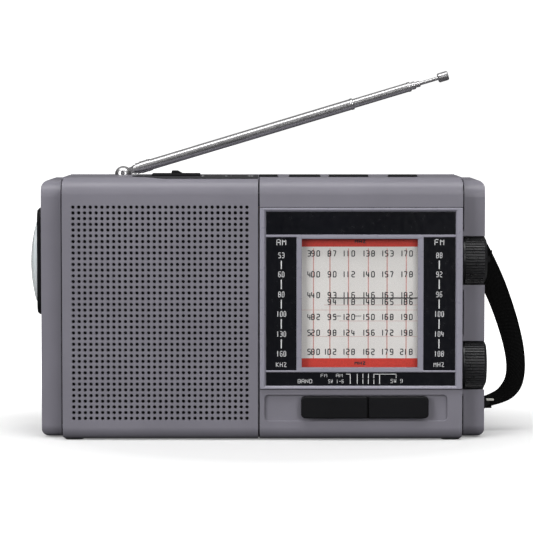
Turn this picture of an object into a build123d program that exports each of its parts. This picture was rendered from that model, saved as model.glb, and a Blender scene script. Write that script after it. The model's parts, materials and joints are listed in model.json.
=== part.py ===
"""Portable shortwave receiver with a telescopic antenna, a side torch and a hand strap.

Millimetres. X runs to the right as seen from the front, Y to the back and Z up. The working frame
has X = 0 and Y = 0 in the middle of the case. Every piece is moved by the same offset when it is
written, so that the origin is at the middle of the whole receiver's base, where the feet stand.
"""
from build123d import *
import math
import os

os.makedirs("parts", exist_ok=True)

# ---- Case ----
case_width = 211.6  # across the cheeks
front_left, front_right = -95.1, 94.6  # the front cabinet's sides
seam_x, seam_gap = -1.9, 0.7  # between the speaker panel and the tuner panel
front_y, cheek_y, back_y = -34.0, -24.0, 34.0
case_low = 0.5  # the feet stand below it
deck_high, cheek_high = 124.8, 123.3  # the top between the cheeks is a little higher than they are
wall = 2.2
shell_wall = 2.5
groove_width, groove_depth = 1.2, 1.8  # the shadow gap in the shell beside the front cabinet
top_round, bottom_round, back_round = 8.0, 5.5, 4.0
front_corner, front_corner_low, cheek_corner = 2.6, 1.6, 3.8

# ---- Speaker grille ----
grille_columns, grille_rows = 31, 38
grille_pitch_x, grille_pitch_z = 2.74, 2.71
grille_x, grille_z = -48.65, 60.7  # centre
grille_hole = 0.8  # radius

# ---- Dial ----
bezel_left, bezel_right, bezel_low, bezel_high = -1.5, 94.5, 24.6, 110.6
rail_left, rail_right, rail_low, rail_high = 1.3, 91.2, 26.1, 108.9  # the rails' inner edges
bezel_proud, bezel_corner, bezel_edge, rail_slope = 1.1, 0.6, 0.2, 0.7
dial_left, dial_right, dial_low, dial_high = 18.4, 73.3, 34.8, 95.9
plate_proud = 0.3
card_y, card_thickness = -30.6, 0.8  # the card's printed face

# ---- Dial drive: wheels that turn about X, with their centres in Y and Z ----
drive_x = 85.0  # the plane of the dial cord
drum_y, drum_z, drum_r = -13.0, 58.0, 15.0
pulley_y, upper_pulley_z, lower_pulley_z, pulley_r = -26.5, 104.0, 38.5, 3.0
cord_wheel_r = 3.5  # where the cord wraps round the tuning spindle
cord_thickness = 0.6
pointer_z = 67.7
pointer_left, pointer_r, pointer_gap = 32.2, 0.25, 0.9  # the gap is from the card's face to its middle
rail_x, rail_y, rail_r = 80.0, -27.5, 1.0

# ---- Knobs ----
knob_y = -15.65
tuning_z, volume_z = 85.0, 34.9
knob_r, knob_left, knob_right = 12.5, 95.5, 105.6
knob_ridges, ridge_height = 54, 0.55
knob_dome = 1.4
pocket_r, pocket_wall = 14.3, 2.0
spindle_r, running_gap = 3.0, 0.06

# ---- Band slider ----
recess_left, recess_right, recess_low, recess_high = 0.7, 87.5, 9.3, 21.8
recess_depth = 1.4
slider_left, slider_right, slider_low, slider_high = 18.1, 78.5, 10.9, 21.2
slider_groove_x, slider_groove = 49.7, 1.1
slider_back, slider_front = 1.0, -3.0  # in Y, from the front face
slider_travel_left, slider_travel_right = 17.0, 8.5

# ---- Torch ----
torch_y, torch_z = 5.0, 83.0
torch_bezel_depth, torch_bezel_low, torch_bezel_high, torch_bezel_corner = 44.0, 58.4, 109.6, 6.0
torch_hole_r, torch_lens_r = 21.0, 19.2
torch_proud, lens_rim_proud, lens_proud = 2.6, 4.4, 7.0

# ---- Controls on the top ----
button_y, button_depth, button_proud = -16.0, 11.0, 1.0
buttons = {
    "power_button": (2.6, 9.0),
    "tone_button": (20.0, 15.0),
    "stereo_button": (40.9, 18.6),
    "dial_light_button": (66.8, 13.6),
}
panel_end_x, panel_y, panel_r, panel_thickness = -45.4, -11.8, 17.4, 0.35  # the panel's round left end
switch_plate_left, switch_plate_right, switch_plate_proud = -53.0, -30.0, 1.7
torch_switch_x, torch_switch_travel, torch_switch_proud = -42.0, 4.0, 3.0

# ---- Antenna ----
antenna_x, antenna_y = -68.9, 21.0
channel_depth, channel_half, turret_pocket_r = 2.8, 4.2, 4.9
pivot_z = deck_high + 0.9
antenna_tilt = 16.7  # degrees above level, as it stands
tube_radii = (2.7, 2.3, 1.85, 1.4)
tube_bores = (2.35, 1.9, 1.45, 0.95)
tube_starts = (9.0, 37.0, 39.0, 41.0)  # along the antenna, from the tilt axis
tube_ends = (118.3, 147.6, 150.0, 152.4)
tip_r, tip_start, tip_end = 0.9, 43.0, 161.7
cap_r, cap_length = 2.3, 5.2
ear_gap, turret_r = 1.95, 4.4
knuckle_collars = ((4.9, 5.6, 2.0), (5.6, 6.4, 2.3), (6.4, 6.8, 2.0), (6.8, 9.0, 2.7))  # start, end, radius
sleeve_collars = ((9.0, 9.8, 3.0), (9.8, 12.6, 2.95), (12.6, 13.0, 3.1), (13.0, 14.4, 2.95))

# ---- Hand strap ----
strap_y, strap_thickness = 1.0, 1.8
rivet_head_r = 1.8
strap_gap = 0.4  # between the strap's ends and the cheek
strap_reach = 128.0

# ---- Battery door ----
door_left, door_right, door_low, door_high = -96.0, 90.0, 7.5, 44.0
door_gap = 0.4
door_axis_y, door_axis_z, door_pin_r = 32.4, 9.3, 0.8

# ---- Inside ----
speaker_x, speaker_z, speaker_r = -48.65, 62.0, 43.0
foot_x, foot_y, foot_width, foot_depth = (-90.0, 89.4), (-26.9, 24.0), 8.6, 5.4
board_y = -1.0
jack_z, dc_jack_z, jack_y = 38.0, 22.0, -10.0
jack_bore_r = 1.8

# The receiver's extremes in X are the torch lens and the strap, and in Y the slider and the back.
middle_x = (strap_reach - case_width / 2 - lens_proud) / 2
middle_y = (back_y + front_y + slider_front) / 2
to_base_centre = Location((-middle_x, -middle_y, 0))


def save(name, shape):
    """Write one node, moved into the receiver's own frame."""
    export_step(to_base_centre * shape, f"parts/{name}.step")


def group(shapes):
    """Several separate solids as one node."""
    return Compound([solid for shape in shapes for solid in shape.solids()])


def block(x0, x1, y0, y1, z0, z1):
    return Pos((x0 + x1) / 2, (y0 + y1) / 2, (z0 + z1) / 2) * Box(x1 - x0, y1 - y0, z1 - z0)


def rod_x(x0, x1, y, z, r):
    return Pos((x0 + x1) / 2, y, z) * Rot(0, 90, 0) * Cylinder(r, x1 - x0)


def rod_y(y0, y1, x, z, r):
    return Pos(x, (y0 + y1) / 2, z) * Rot(90, 0, 0) * Cylinder(r, y1 - y0)


def rod_z(z0, z1, x, y, r):
    return Pos(x, y, (z0 + z1) / 2) * Cylinder(r, z1 - z0)


def ring_x(x0, x1, y, z, r, bore):
    return rod_x(x0, x1, y, z, r) - rod_x(x0 - 1, x1 + 1, y, z, bore)


def rounded_slab(x0, x1, y0, y1, z0, z1, corner):
    """A block whose four edges along Y are rounded."""
    face = RectangleRounded(x1 - x0, z1 - z0, corner)
    return Pos((x0 + x1) / 2, y1, (z0 + z1) / 2) * extrude(Plane.XZ * face, y1 - y0)


def side_profile(x0, x1, y0, y1, z0, z1, top, bottom, back=0.0):
    """A block along X whose front edges, and back edges if asked, are rounded."""
    body = block(x0, x1, y0, y1, z0, z1)
    along = body.edges().filter_by(Axis.X)
    front = along.group_by(Axis.Y)[0].sort_by(Axis.Z)
    body = fillet(front[-1], top)
    along = body.edges().filter_by(Axis.X)
    low = along.filter_by(lambda e: e.center().Y < y0 + 0.01 and e.center().Z < z0 + 0.01)
    body = fillet(low, bottom)
    if back:
        rear = body.edges().filter_by(Axis.X).filter_by(lambda e: e.center().Y > y1 - 0.01)
        body = fillet(rear, back)
    return body


# ---- Case ----
def front_panel(x0, x1, outer_side):
    """One half of the front cabinet: a shallow tray, rounded at the top, the bottom and one side."""
    outer = side_profile(x0, x1, front_y, cheek_y, case_low, deck_high, top_round, bottom_round)
    inner = side_profile(
        x0 + wall, x1 - wall, front_y + wall, cheek_y + 1, case_low + wall, deck_high - wall,
        top_round - wall, bottom_round - wall,
    )
    mask = block(x0, x1, front_y - 1, cheek_y + 1, case_low, deck_high)
    corners = mask.edges().filter_by(Axis.Y).group_by(Axis.X)[0 if outer_side == "left" else -1]
    mask = fillet(corners.sort_by(Axis.Z)[-1], front_corner)
    corners = mask.edges().filter_by(Axis.Y).group_by(Axis.X)[0 if outer_side == "left" else -1]
    mask = fillet(corners.sort_by(Axis.Z)[0], front_corner_low)
    return (outer & mask) - inner


def perforated_plate(x0, x1, z0, z1):
    """The front wall's flat part, with the grid of speaker holes."""
    outline = Wire.make_polygon([(x0, 0, z0), (x1, 0, z0), (x1, 0, z1), (x0, 0, z1)])
    holes = []
    for i in range(grille_columns):
        for k in range(grille_rows):
            x = grille_x + (i - (grille_columns - 1) / 2) * grille_pitch_x
            z = grille_z + (k - (grille_rows - 1) / 2) * grille_pitch_z
            holes.append(Wire.make_circle(grille_hole, Plane((x, 0, z), z_dir=(0, 1, 0))))
    face = Face(outline, holes)
    return Pos(0, front_y, 0) * Solid.extrude(face, Vector(0, wall, 0))


def speaker_panel():
    panel = front_panel(front_left, seam_x - seam_gap / 2, "left")
    x0, x1 = front_left + 4, seam_x - seam_gap / 2 - 4
    z0, z1 = case_low + bottom_round + 2, deck_high - top_round - 2
    panel -= block(x0, x1, front_y - 1, front_y + wall + 1, z0, z1)
    return panel + perforated_plate(x0, x1, z0, z1)


def tuner_panel():
    panel = front_panel(seam_x + seam_gap / 2, front_right, "right")
    panel -= block(dial_left, dial_right, front_y - 1, front_y + wall + 1, dial_low, dial_high)
    # the slider's recess, with a floor behind it, and the slot for the slider's stem
    floor = rounded_slab(
        recess_left - 1.2, recess_right + 1.2, front_y + wall - 0.01, front_y + wall + recess_depth,
        recess_low - 1.2, recess_high + 1.2, 2.5,
    )
    panel += floor
    panel -= rounded_slab(
        recess_left, recess_right, front_y - 1, front_y + recess_depth, recess_low, recess_high, 2.0
    )
    slot_left = slider_groove_x - slider_travel_left - 3
    slot_right = slider_groove_x + slider_travel_right + 3
    panel -= block(slot_left, slot_right, front_y - 1, front_y + 6, 13.8, 18.2)
    return panel


def shadow_gap(x0, x1):
    """A groove of even depth over the shell's top, front and bottom, between two planes."""
    skin = block(x0, x1, cheek_y - 1, back_y - 6, case_low - 1, deck_high + 1)
    return skin - side_profile(
        x0 - 1, x1 + 1, cheek_y + groove_depth, back_y, case_low + groove_depth, cheek_high - groove_depth,
        top_round - groove_depth, bottom_round - groove_depth,
    )


def rear_cabinet():
    half = case_width / 2
    outer = side_profile(
        -half, half, cheek_y, back_y, case_low, cheek_high, top_round, bottom_round, back_round
    )
    outer &= rounded_slab(-half, half, cheek_y - 1, back_y + 1, case_low, cheek_high, cheek_corner)
    # between the cheeks the shell is higher, and square in front, so that the front cabinet meets it
    deck = block(front_left, front_right, cheek_y, back_y, case_low, deck_high)
    outer += fillet(deck.edges().filter_by(Axis.X).group_by(Axis.Y)[-1], back_round)
    outer -= block(front_left, front_right, cheek_y - 1, cheek_y + 0.6, deck_high - 0.7, deck_high + 1)
    cavity = block(
        -half + shell_wall, half - shell_wall, cheek_y + shell_wall, back_y - shell_wall,
        case_low + shell_wall, cheek_high - shell_wall,
    )
    cabinet = outer - cavity
    cabinet -= block(-92.5, 92.0, cheek_y - 1, cheek_y + shell_wall + 1, 6.5, 117.0)
    cabinet -= shadow_gap(front_left - groove_width, front_left)
    cabinet -= shadow_gap(front_right, front_right + groove_width)
    # the knobs' pockets, open to the front and to the right
    for z in (tuning_z, volume_z):
        cup = rod_x(92.5, half - 0.5, knob_y, z, pocket_r + pocket_wall)
        cabinet += cup & block(90, half, cheek_y, 10, 0, 120)
        cabinet -= rod_x(94.5, half + 1, knob_y, z, pocket_r)
        cabinet -= rod_x(90, 96, knob_y, z, spindle_r + running_gap)
    # the battery compartment's front wall and top, and its door's opening
    cabinet += block(-half + 1, half - 1, -0.5, 1.5, case_low + 1, 46)
    cabinet += block(-half + 1, half - 1, 1.5, back_y - 1, door_high, 46)
    cabinet -= block(door_left, door_right, back_y - shell_wall - 0.5, back_y + 1, door_low, door_high)
    cabinet -= rod_x(door_left - 2.5, door_right + 2.5, door_axis_y, door_axis_z, door_pin_r + running_gap)
    # the torch's hole in the left cheek, and the two jacks' holes
    cabinet -= rod_x(-half - 1, -half + 5, torch_y, torch_z, torch_hole_r)
    for z, r in ((jack_z, 3.5), (dc_jack_z, 4.5)):
        cabinet -= rod_x(-half - 1, -half + 5, jack_y, z, r)
    # the holes for the controls on the top
    for x, width in buttons.values():
        cabinet -= block(
            x - width / 2 - 0.4, x + width / 2 + 0.4, button_y - button_depth / 2 - 0.4,
            button_y + button_depth / 2 + 0.4, deck_high - 5, deck_high + 1,
        )
    cabinet -= torch_switch_slot()
    # the channel that the folded antenna lies in, open at both ends, and the swivel's pocket and bearing
    floor = deck_high - channel_depth
    cabinet -= block(
        -half - 1, half + 1, antenna_y - channel_half, antenna_y + channel_half, floor, deck_high + 1
    )
    cabinet -= rod_z(floor, deck_high + 1, antenna_x, antenna_y, turret_pocket_r)
    cabinet -= rod_z(deck_high - 6, deck_high, antenna_x, antenna_y, spindle_r + running_gap)
    # counterbored holes for the case's screws
    for x, z in screw_places():
        cabinet -= rod_y(back_y - 1.6, back_y + 1, x, z, 3.2)
        cabinet -= rod_y(back_y - 5, back_y + 1, x, z, 1.5)
    return cabinet


def screw_places():
    return [(x, z) for x in (-97.0, 97.0) for z in (55.0, 116.0)]


def case_screws():
    screws = []
    for x, z in screw_places():
        head = rod_y(back_y - 1.6, back_y - 0.1, x, z, 3.0)
        head -= block(x - 2.2, x + 2.2, back_y - 0.9, back_y, z - 0.4, z + 0.4)
        head -= block(x - 0.4, x + 0.4, back_y - 0.9, back_y, z - 2.2, z + 2.2)
        screws.append(head + rod_y(back_y - 12, back_y - 1.6, x, z, 1.4))
    return group(screws)


def rubber_feet():
    """Oblong pads: two under the front cabinet, two under the back."""
    pad = extrude(RectangleRounded(foot_width, foot_depth, foot_depth / 2 - 0.1), case_low)
    return group([Pos(x, y, 0) * pad for x in foot_x for y in foot_y])


def battery_door():
    door = block(
        door_left + door_gap, door_right - door_gap, back_y - 2, back_y,
        door_low + 0.8, door_high - door_gap,
    )
    low = door.edges().filter_by(Axis.X).filter_by(lambda e: e.center().Z < door_low + 0.9)
    door = fillet(low.filter_by(lambda e: e.center().Y > back_y - 0.1), 1.2)
    # a finger notch and the two hinge pins
    door -= rounded_slab(-16, 10, back_y - 0.8, back_y + 1, door_high - 9, door_high - 4, 2)
    for side, x in ((-1, door_left + door_gap), (1, door_right - door_gap)):
        door += rod_x(min(x, x + side * 2.2), max(x, x + side * 2.2), door_axis_y, door_axis_z, door_pin_r)
    return door


def battery_contacts():
    """A spring on the left wall and a flat plate on the right wall, for three cells in a row."""
    plate = block(door_left - 2.5, door_left - 2.0, 6, 26, 14, 38)
    turns = []
    for i in range(3):
        x = door_left - 2.0 + i * 1.5
        turns.append(ring_x(x, x + 1.0, 16, 26, 8.5 - i, 7.0 - i))
    bridge = block(door_left - 2.0, door_left + 2.0, 15.4, 16.6, 32.2, 33.2)
    spring = plate + turns[0] + turns[1] + turns[2] + bridge
    flat = block(door_right + 2.0, door_right + 2.5, 6, 26, 14, 38) + rod_x(
        door_right + 1.0, door_right + 2.0, 16, 26, 4
    )
    return group([spring, flat])


# ---- Speaker ----
cloth_back = front_y + wall + 0.4


def speaker_cloth():
    return block(-91.5, -6.0, front_y + wall, cloth_back, 8, 113)


def speaker_basket():
    """A pressed frame: a flat rim, a cone of four windows and a back plate."""
    outline = Polyline(
        (speaker_r, 0.5), (speaker_r, 1.5), (38.0, 1.5), (20.0, 18.5), (5.0, 18.5), (5.0, 17.5),
        (19.6, 17.5),
        (37.2, 0.9), (39.0, 0.5), close=True,
    )
    basket = revolve(make_face(outline), Axis.Y)
    for turn in (45, 135, 225, 315):
        window = Rot(0, turn, 0) * block(22, 32, 2.5, 17.5, -9, 9)
        basket -= window
    return Pos(speaker_x, cloth_back, speaker_z) * basket


def speaker_cone():
    """Paper cone, dust cap and voice-coil tube in one, with a flat edge that lies on the basket's rim."""
    outline = Polyline(
        (42.0, 0.5), (36.4, 0.5), (12.0, 12.7), (12.0, 16.9), (11.4, 16.9), (11.4, 12.1),
        (0.0, 9.6), (0.0, 9.1), (11.6, 11.7), (35.9, 0.0), (42.0, 0.0), close=True,
    )
    return Pos(speaker_x, cloth_back, speaker_z) * revolve(make_face(outline), Axis.Y)


def speaker_magnet():
    y = cloth_back + 18.5
    return rod_y(y, y + 10, speaker_x, speaker_z, 17) - rod_y(y - 1, y + 6, speaker_x, speaker_z, 5)


# ---- Dial ----
def dial_bezel():
    """The raised frame round the dial's plates, whose rails slope down on the inside."""
    front = front_y - bezel_proud
    outer = rounded_slab(bezel_left, bezel_right, front, front_y, bezel_low, bezel_high, bezel_corner)
    outer = chamfer(outer.edges().group_by(Axis.Y)[0], bezel_edge)
    opening = block(rail_left, rail_right, front, front_y, rail_low, rail_high)
    opening += Pos((rail_left + rail_right) / 2, front, (rail_low + rail_high) / 2) * extrude(
        Plane.XZ * Rectangle(rail_right - rail_left + 2 * rail_slope, rail_high - rail_low + 2 * rail_slope),
        rail_slope, dir=(0, 1, 0), taper=45,
    )
    return outer - opening


def printed_plate(x0, x1, z0, z1):
    return block(x0, x1, front_y - plate_proud, front_y, z0, z1)


header_plate_box = (1.6, 91.0, 97.9, 108.7)
left_plate_box = (1.6, 15.9, 33.5, 96.7)
right_plate_box = (76.0, 91.0, 33.5, 96.7)
band_plate_box = (1.6, 91.0, 26.3, 32.6)


def dial_window():
    return block(dial_left, dial_right, front_y + 0.2, front_y + 1.2, dial_low, dial_high)


def dial_card():
    back = card_y + card_thickness
    return block(dial_left - 3, dial_right + 2.5, card_y, back, dial_low - 2, dial_high + 2)


def dial_chassis():
    """The plate behind the card, with arms at top and bottom out to the pulleys' bracket."""
    back = card_y + card_thickness
    chassis = block(12, 75.8, back, back + 2, 24, 112)
    for z0, z1 in ((24, 27), (109, 112)):
        chassis += block(12, 91, back - 1, back + 2, z0, z1)
    chassis += block(89, 91, back - 1, -20.5, 24, 112)
    for z in (upper_pulley_z, lower_pulley_z):
        chassis += rod_x(drive_x - 2, 89.5, pulley_y, z, 1.0)
    return chassis + rod_z(26, 110, rail_x, rail_y, rail_r)


def dial_pointer():
    return rod_x(pointer_left, rail_x - 2.5, card_y - pointer_gap, pointer_z, pointer_r)


def pointer_carriage():
    front = card_y - pointer_gap - pointer_r + 0.05
    carriage = block(rail_x - 2.5, rail_x + 2.4, front, rail_y + 2.2, pointer_z - 3, pointer_z + 3)
    carriage -= rod_z(pointer_z - 5, pointer_z + 5, rail_x, rail_y, rail_r + running_gap)
    return carriage


def cord_outline(gap):
    """The belt line round the two pulleys, the drum and the tuning spindle, at a gap from them."""
    wheels = [
        (pulley_y, upper_pulley_z, pulley_r),
        (pulley_y, lower_pulley_z, pulley_r),
        (drum_y, drum_z, drum_r),
        (knob_y, tuning_z, cord_wheel_r),
    ]
    circles = [Pos(y, z) * Circle(r + gap) for y, z, r in wheels]
    return make_hull([e for c in circles for e in c.edges()])


def dial_cord():
    face = cord_outline(0.2 + cord_thickness) - cord_outline(0.2)
    loop = extrude(face, cord_thickness / 2, both=True)
    return Pos(drive_x, 0, 0) * Plane.YZ.location * loop


def grooved_wheel(x, y, z, r, width, bore):
    """A wheel that turns about X, with side flanges, bored for its pin."""
    wheel = ring_x(x - width / 2, x + width / 2, y, z, r, bore)
    for x0 in (x - width / 2, x + width / 2 - 0.7):
        wheel += ring_x(x0, x0 + 0.7, y, z, r + 1.0, bore)
    return wheel


def dial_drum():
    drum = grooved_wheel(drive_x, drum_y, drum_z, drum_r, 4.0, 1.0)
    return drum + rod_x(66, drive_x + 3, drum_y, drum_z, spindle_r)


def tuning_capacitor():
    body = block(58, 80, drum_y - 12, board_y, drum_z - 12, drum_z + 12)
    return body - rod_x(65, 81, drum_y, drum_z, spindle_r + running_gap)


# ---- Knobs ----
def knob(z):
    """A ridged barrel that turns about X, with a plain band at the inner end and a domed outer face."""
    valley_r = knob_r - ridge_height
    one_ridge = ((0.0, knob_r), (0.3, knob_r), (0.45, valley_r), (0.85, valley_r))
    points = []
    for i in range(knob_ridges):
        for part, r in one_ridge:
            a = 2 * math.pi * (i + part) / knob_ridges
            points.append((r * math.cos(a), r * math.sin(a)))
    ridged = extrude(make_face(Polyline(*points, close=True)), knob_right - knob_left - 1.0)
    ridged = Pos(knob_left + 1.0, knob_y, z) * Plane.YZ.location * ridged
    plain = rod_x(knob_left, knob_left + 1.0, knob_y, z, valley_r)
    dome = rod_x(knob_right, knob_right + knob_dome, knob_y, z, valley_r)
    dome = chamfer(dome.edges().group_by(Axis.X)[-1], knob_dome * 0.9, 2.5)
    return ridged + plain + dome - rod_x(knob_left - 1, knob_left + 6, knob_y, z, spindle_r)


def tuning_spindle():
    spindle = rod_x(drive_x - 2.0, knob_left + 6, knob_y, tuning_z, spindle_r)
    return spindle + rod_x(drive_x - 1.0, drive_x + 1.0, knob_y, tuning_z, cord_wheel_r)


def volume_spindle():
    return rod_x(76, knob_left + 6, knob_y, volume_z, spindle_r)


def volume_control():
    body = rod_x(72, 82, knob_y, volume_z, 8)
    return body - rod_x(75, 83, knob_y, volume_z, spindle_r + running_gap)


# ---- Band slider ----
def band_slider():
    """Two pads with a groove between them, and the stem that reaches the band switch."""
    front, back = front_y + slider_front, front_y + slider_back
    slider = rounded_slab(slider_left, slider_right, front, back, slider_low, slider_high, 2.0)
    slider = chamfer(slider.edges().group_by(Axis.Y)[0], 0.4)
    half = slider_groove / 2
    slider -= block(slider_groove_x - half, slider_groove_x + half, front - 1, front + 1.6, 0, 40)
    return slider + block(slider_groove_x - 2, slider_groove_x + 2, back, front_y + 10, 14.2, 17.8)


def band_switch():
    left = slider_groove_x - slider_travel_left - 6
    right = slider_groove_x + slider_travel_right + 6
    body = block(left, right, front_y + 5, front_y + 13, 9, 23)
    return body - block(left + 3, right - 3, front_y + 4, front_y + 11, 13.8, 18.2)


# ---- Board and ferrite rod ----
def main_board():
    board = block(-22, 79, board_y, board_y + 1.6, 48, 110)
    for i in range(4):
        x = -10 + 18 * i
        board += rod_y(board_y + 1.6, board_y + 13, x, 98, 4)
    for i in range(3):
        x = -8 + 24 * i
        board += block(x - 9, x + 9, board_y + 1.6, board_y + 5, 70, 78)
    return board


def ferrite_rod():
    return rod_x(-56, 56, 21, 112, 4.9)


def ferrite_coils():
    return group([ring_x(x - 9, x + 9, 21, 112, 5.8, 4.95) for x in (-36.0, 34.0)])


# ---- Torch ----
def torch_bezel():
    """A rounded plate on the cheek with a spigot in the cheek's hole and a seat for the lens."""
    x = -case_width / 2
    height = torch_bezel_high - torch_bezel_low
    plate = extrude(
        Plane.YZ * RectangleRounded(torch_bezel_depth, height, torch_bezel_corner),
        torch_proud, dir=(-1, 0, 0)
    )
    plate = Pos(x, torch_y, (torch_bezel_low + torch_bezel_high) / 2) * plate
    plate = chamfer(plate.edges().group_by(Axis.X)[0], 0.9)
    plate += rod_x(x, x + 4, torch_y, torch_z, torch_hole_r)
    return plate - rod_x(x - 5, x + 5, torch_y, torch_z, torch_lens_r)


def torch_lens():
    """A clear disc with a flat back and a low dome."""
    x = -case_width / 2
    rise = lens_proud - lens_rim_proud
    ball_r = (torch_lens_r**2 + rise**2) / (2 * rise)
    dome = Pos(x - lens_proud + ball_r, torch_y, torch_z) * Sphere(ball_r)
    return dome & rod_x(x - lens_proud - 1, x + 1.0, torch_y, torch_z, torch_lens_r)


def torch_reflector():
    """A bowl that opens to the left, with a hole for the lamp."""
    rings = 6
    outer = [(4.0 + 14.4 * math.sqrt(i / rings), 20.0 * i / rings) for i in range(rings + 1)]
    inner = [(r - 0.8, h) for r, h in reversed(outer)]
    bowl = revolve(make_face(Polyline(*outer, *inner, close=True)), Axis.Y)
    return Pos(-case_width / 2 + 21.2, torch_y, torch_z) * Rot(0, 0, 90) * bowl


def torch_lamp():
    x = -case_width / 2 + 21.2
    return rod_x(x - 8, x + 3, torch_y, torch_z, 2.5) + Pos(x - 8, torch_y, torch_z) * Sphere(2.5)


# ---- Controls on the top ----
def torch_switch_slot():
    """The slot that the torch switch's stem slides in."""
    half = torch_switch_travel / 2 + 2.0
    x = torch_switch_x + torch_switch_travel / 2
    return block(x - half, x + half, button_y - 1.5, button_y + 1.5, deck_high - 5, deck_high + 5)


def top_panel():
    """A thin dark panel on the top, round at the left, that follows the front edge's rounding."""
    right = seam_x - seam_gap / 2 - 0.1
    outline = Pos(panel_end_x, panel_y) * Circle(panel_r)
    outline += Pos((panel_end_x + right) / 2, panel_y) * Rectangle(right - panel_end_x, 2 * panel_r)
    column = Pos(0, 0, deck_high - top_round) * extrude(outline, 2 * top_round)
    raised = side_profile(
        -70, 0, front_y - panel_thickness, back_y, case_low, deck_high + panel_thickness,
        top_round + panel_thickness, bottom_round,
    )
    under = side_profile(-71, 1, front_y, back_y, case_low, deck_high, top_round, bottom_round)
    panel = column & (raised - under)
    return panel - torch_switch_slot()


def switch_plate():
    """The raised housing round the torch switch."""
    plate = block(
        switch_plate_left, switch_plate_right, button_y - button_depth / 2, button_y + button_depth / 2,
        deck_high + panel_thickness, deck_high + switch_plate_proud,
    )
    plate = chamfer(plate.edges().group_by(Axis.Z)[-1], 0.4)
    return plate - torch_switch_slot()


def torch_switch_knob():
    """A thumb piece, steep on the left and sloping on the right, on the stem in the slot."""
    low, high = deck_high + switch_plate_proud + 0.1, deck_high + torch_switch_proud
    x = torch_switch_x
    side = Polyline((x - 1.8, low), (x - 1.4, high), (x + 1.2, high), (x + 3.4, low), close=True)
    thumb = Pos(0, button_y + 3, 0) * extrude(Plane.XZ * make_face(side), 6)
    return thumb + block(x - 1.6, x + 1.6, button_y - 1.2, button_y + 1.2, deck_high - 4, low)


def push_button(x, width):
    cap = block(
        x - width / 2, x + width / 2, button_y - button_depth / 2, button_y + button_depth / 2,
        deck_high - 3.5, deck_high + button_proud,
    )
    cap = fillet(cap.edges().filter_by(Axis.Z), 1.0)
    return chamfer(cap.edges().group_by(Axis.Z)[-1], 0.3)


# ---- Antenna ----
along_antenna = Location((antenna_x, antenna_y, pivot_z)) * Rot(0, 90 - antenna_tilt, 0)


def on_antenna(start, end, r):
    """A rod along the antenna, between two distances from the tilt axis."""
    return along_antenna * Pos(0, 0, (start + end) / 2) * Cylinder(r, end - start)


def antenna_turret():
    """The swivelling dome: a post in the case's top, and a half ball with a slot for the knuckle."""
    floor = deck_high - channel_depth + 0.1
    dome = rod_z(floor, deck_high + 0.3, antenna_x, antenna_y, turret_r)
    ball = Pos(antenna_x, antenna_y, deck_high + 0.3) * Sphere(turret_r)
    dome += ball & block(
        antenna_x - 9, antenna_x + 9, antenna_y - 9, antenna_y + 9, deck_high, pivot_z + 9
    )
    dome -= block(
        antenna_x - 9, antenna_x + 9, antenna_y - ear_gap, antenna_y + ear_gap, floor + 1.0, pivot_z + 9
    )
    dome -= rod_y(antenna_y - 9, antenna_y + 9, antenna_x, pivot_z, 1.0 + running_gap)
    return dome + rod_z(deck_high - 6, floor, antenna_x, antenna_y, spindle_r)


def antenna_knuckle():
    """A round tongue between the ears, and the stepped socket that holds the widest tube."""
    half = ear_gap - 0.1
    tongue = rod_y(antenna_y - half, antenna_y + half, antenna_x, pivot_z, 2.4)
    neck = along_antenna * Pos(0, 0, 3.0) * Box(3.4, 2 * half, 6.0)
    knuckle = tongue + neck
    for start, end, r in knuckle_collars:
        knuckle += on_antenna(start, end, r)
    # the sleeve round the foot of the widest tube
    for start, end, r in sleeve_collars:
        knuckle += on_antenna(start, end, r) - on_antenna(tube_starts[0], end + 1, tube_radii[0])
    return knuckle - rod_y(antenna_y - 5, antenna_y + 5, antenna_x, pivot_z, 1.0)


def antenna_pin():
    """The tilt pin through the knuckle and both sides of the dome."""
    reach = 3.4
    return rod_y(antenna_y - reach, antenna_y + reach, antenna_x, pivot_z, 1.0)


def antenna_tube(i):
    return on_antenna(tube_starts[i], tube_ends[i], tube_radii[i]) - on_antenna(
        tube_starts[i] - 1, tube_ends[i] + 1, tube_bores[i]
    )


def antenna_tip():
    cap = on_antenna(tip_end, tip_end + cap_length, cap_r)
    cap = chamfer(cap.edges().filter_by(GeomType.CIRCLE), 0.4)
    return on_antenna(tip_start, tip_end, tip_r) + cap


# ---- Hand strap ----
strap_left = case_width / 2 + strap_gap


def hand_strap():
    """Flat webbing, bowed out from the cheek, with a rivet hole at each end."""
    outer_turn, inner_turn = (122.6, 16.0), (118.7, 24.4)
    outer = Spline((strap_left, 97.5), (116.5, 76.0), (124.4, 55.1), (strap_reach, 30.2), outer_turn)
    outer_foot = Spline(outer_turn, (115.6, 12.9), (strap_left, 10.0), tangents=(outer % 1, (-1, -0.25)))
    inner_foot = Spline((strap_left, 16.6), (112.5, 19.2), inner_turn)
    inner = Spline(
        inner_turn, (119.5, 33.3), (114.8, 52.3), (strap_left, 71.0), tangents=(inner_foot % 1, (-0.4, 1))
    )
    ends = Line(inner @ 1, outer @ 0) + Line(outer_foot @ 1, inner_foot @ 0)
    face = make_face([outer, outer_foot, inner_foot, inner] + ends.edges())
    strap = Pos(0, strap_y, 0) * extrude(Plane.XZ * face, strap_thickness, dir=(0, 1, 0))
    for x, z in rivet_places():
        strap -= rod_y(strap_y - 1, strap_y + 5, x, z, 1.2)
    return strap


def rivet_places():
    return [(strap_left + 2.6, 84.0), (strap_left + 2.6, 13.6)]


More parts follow.
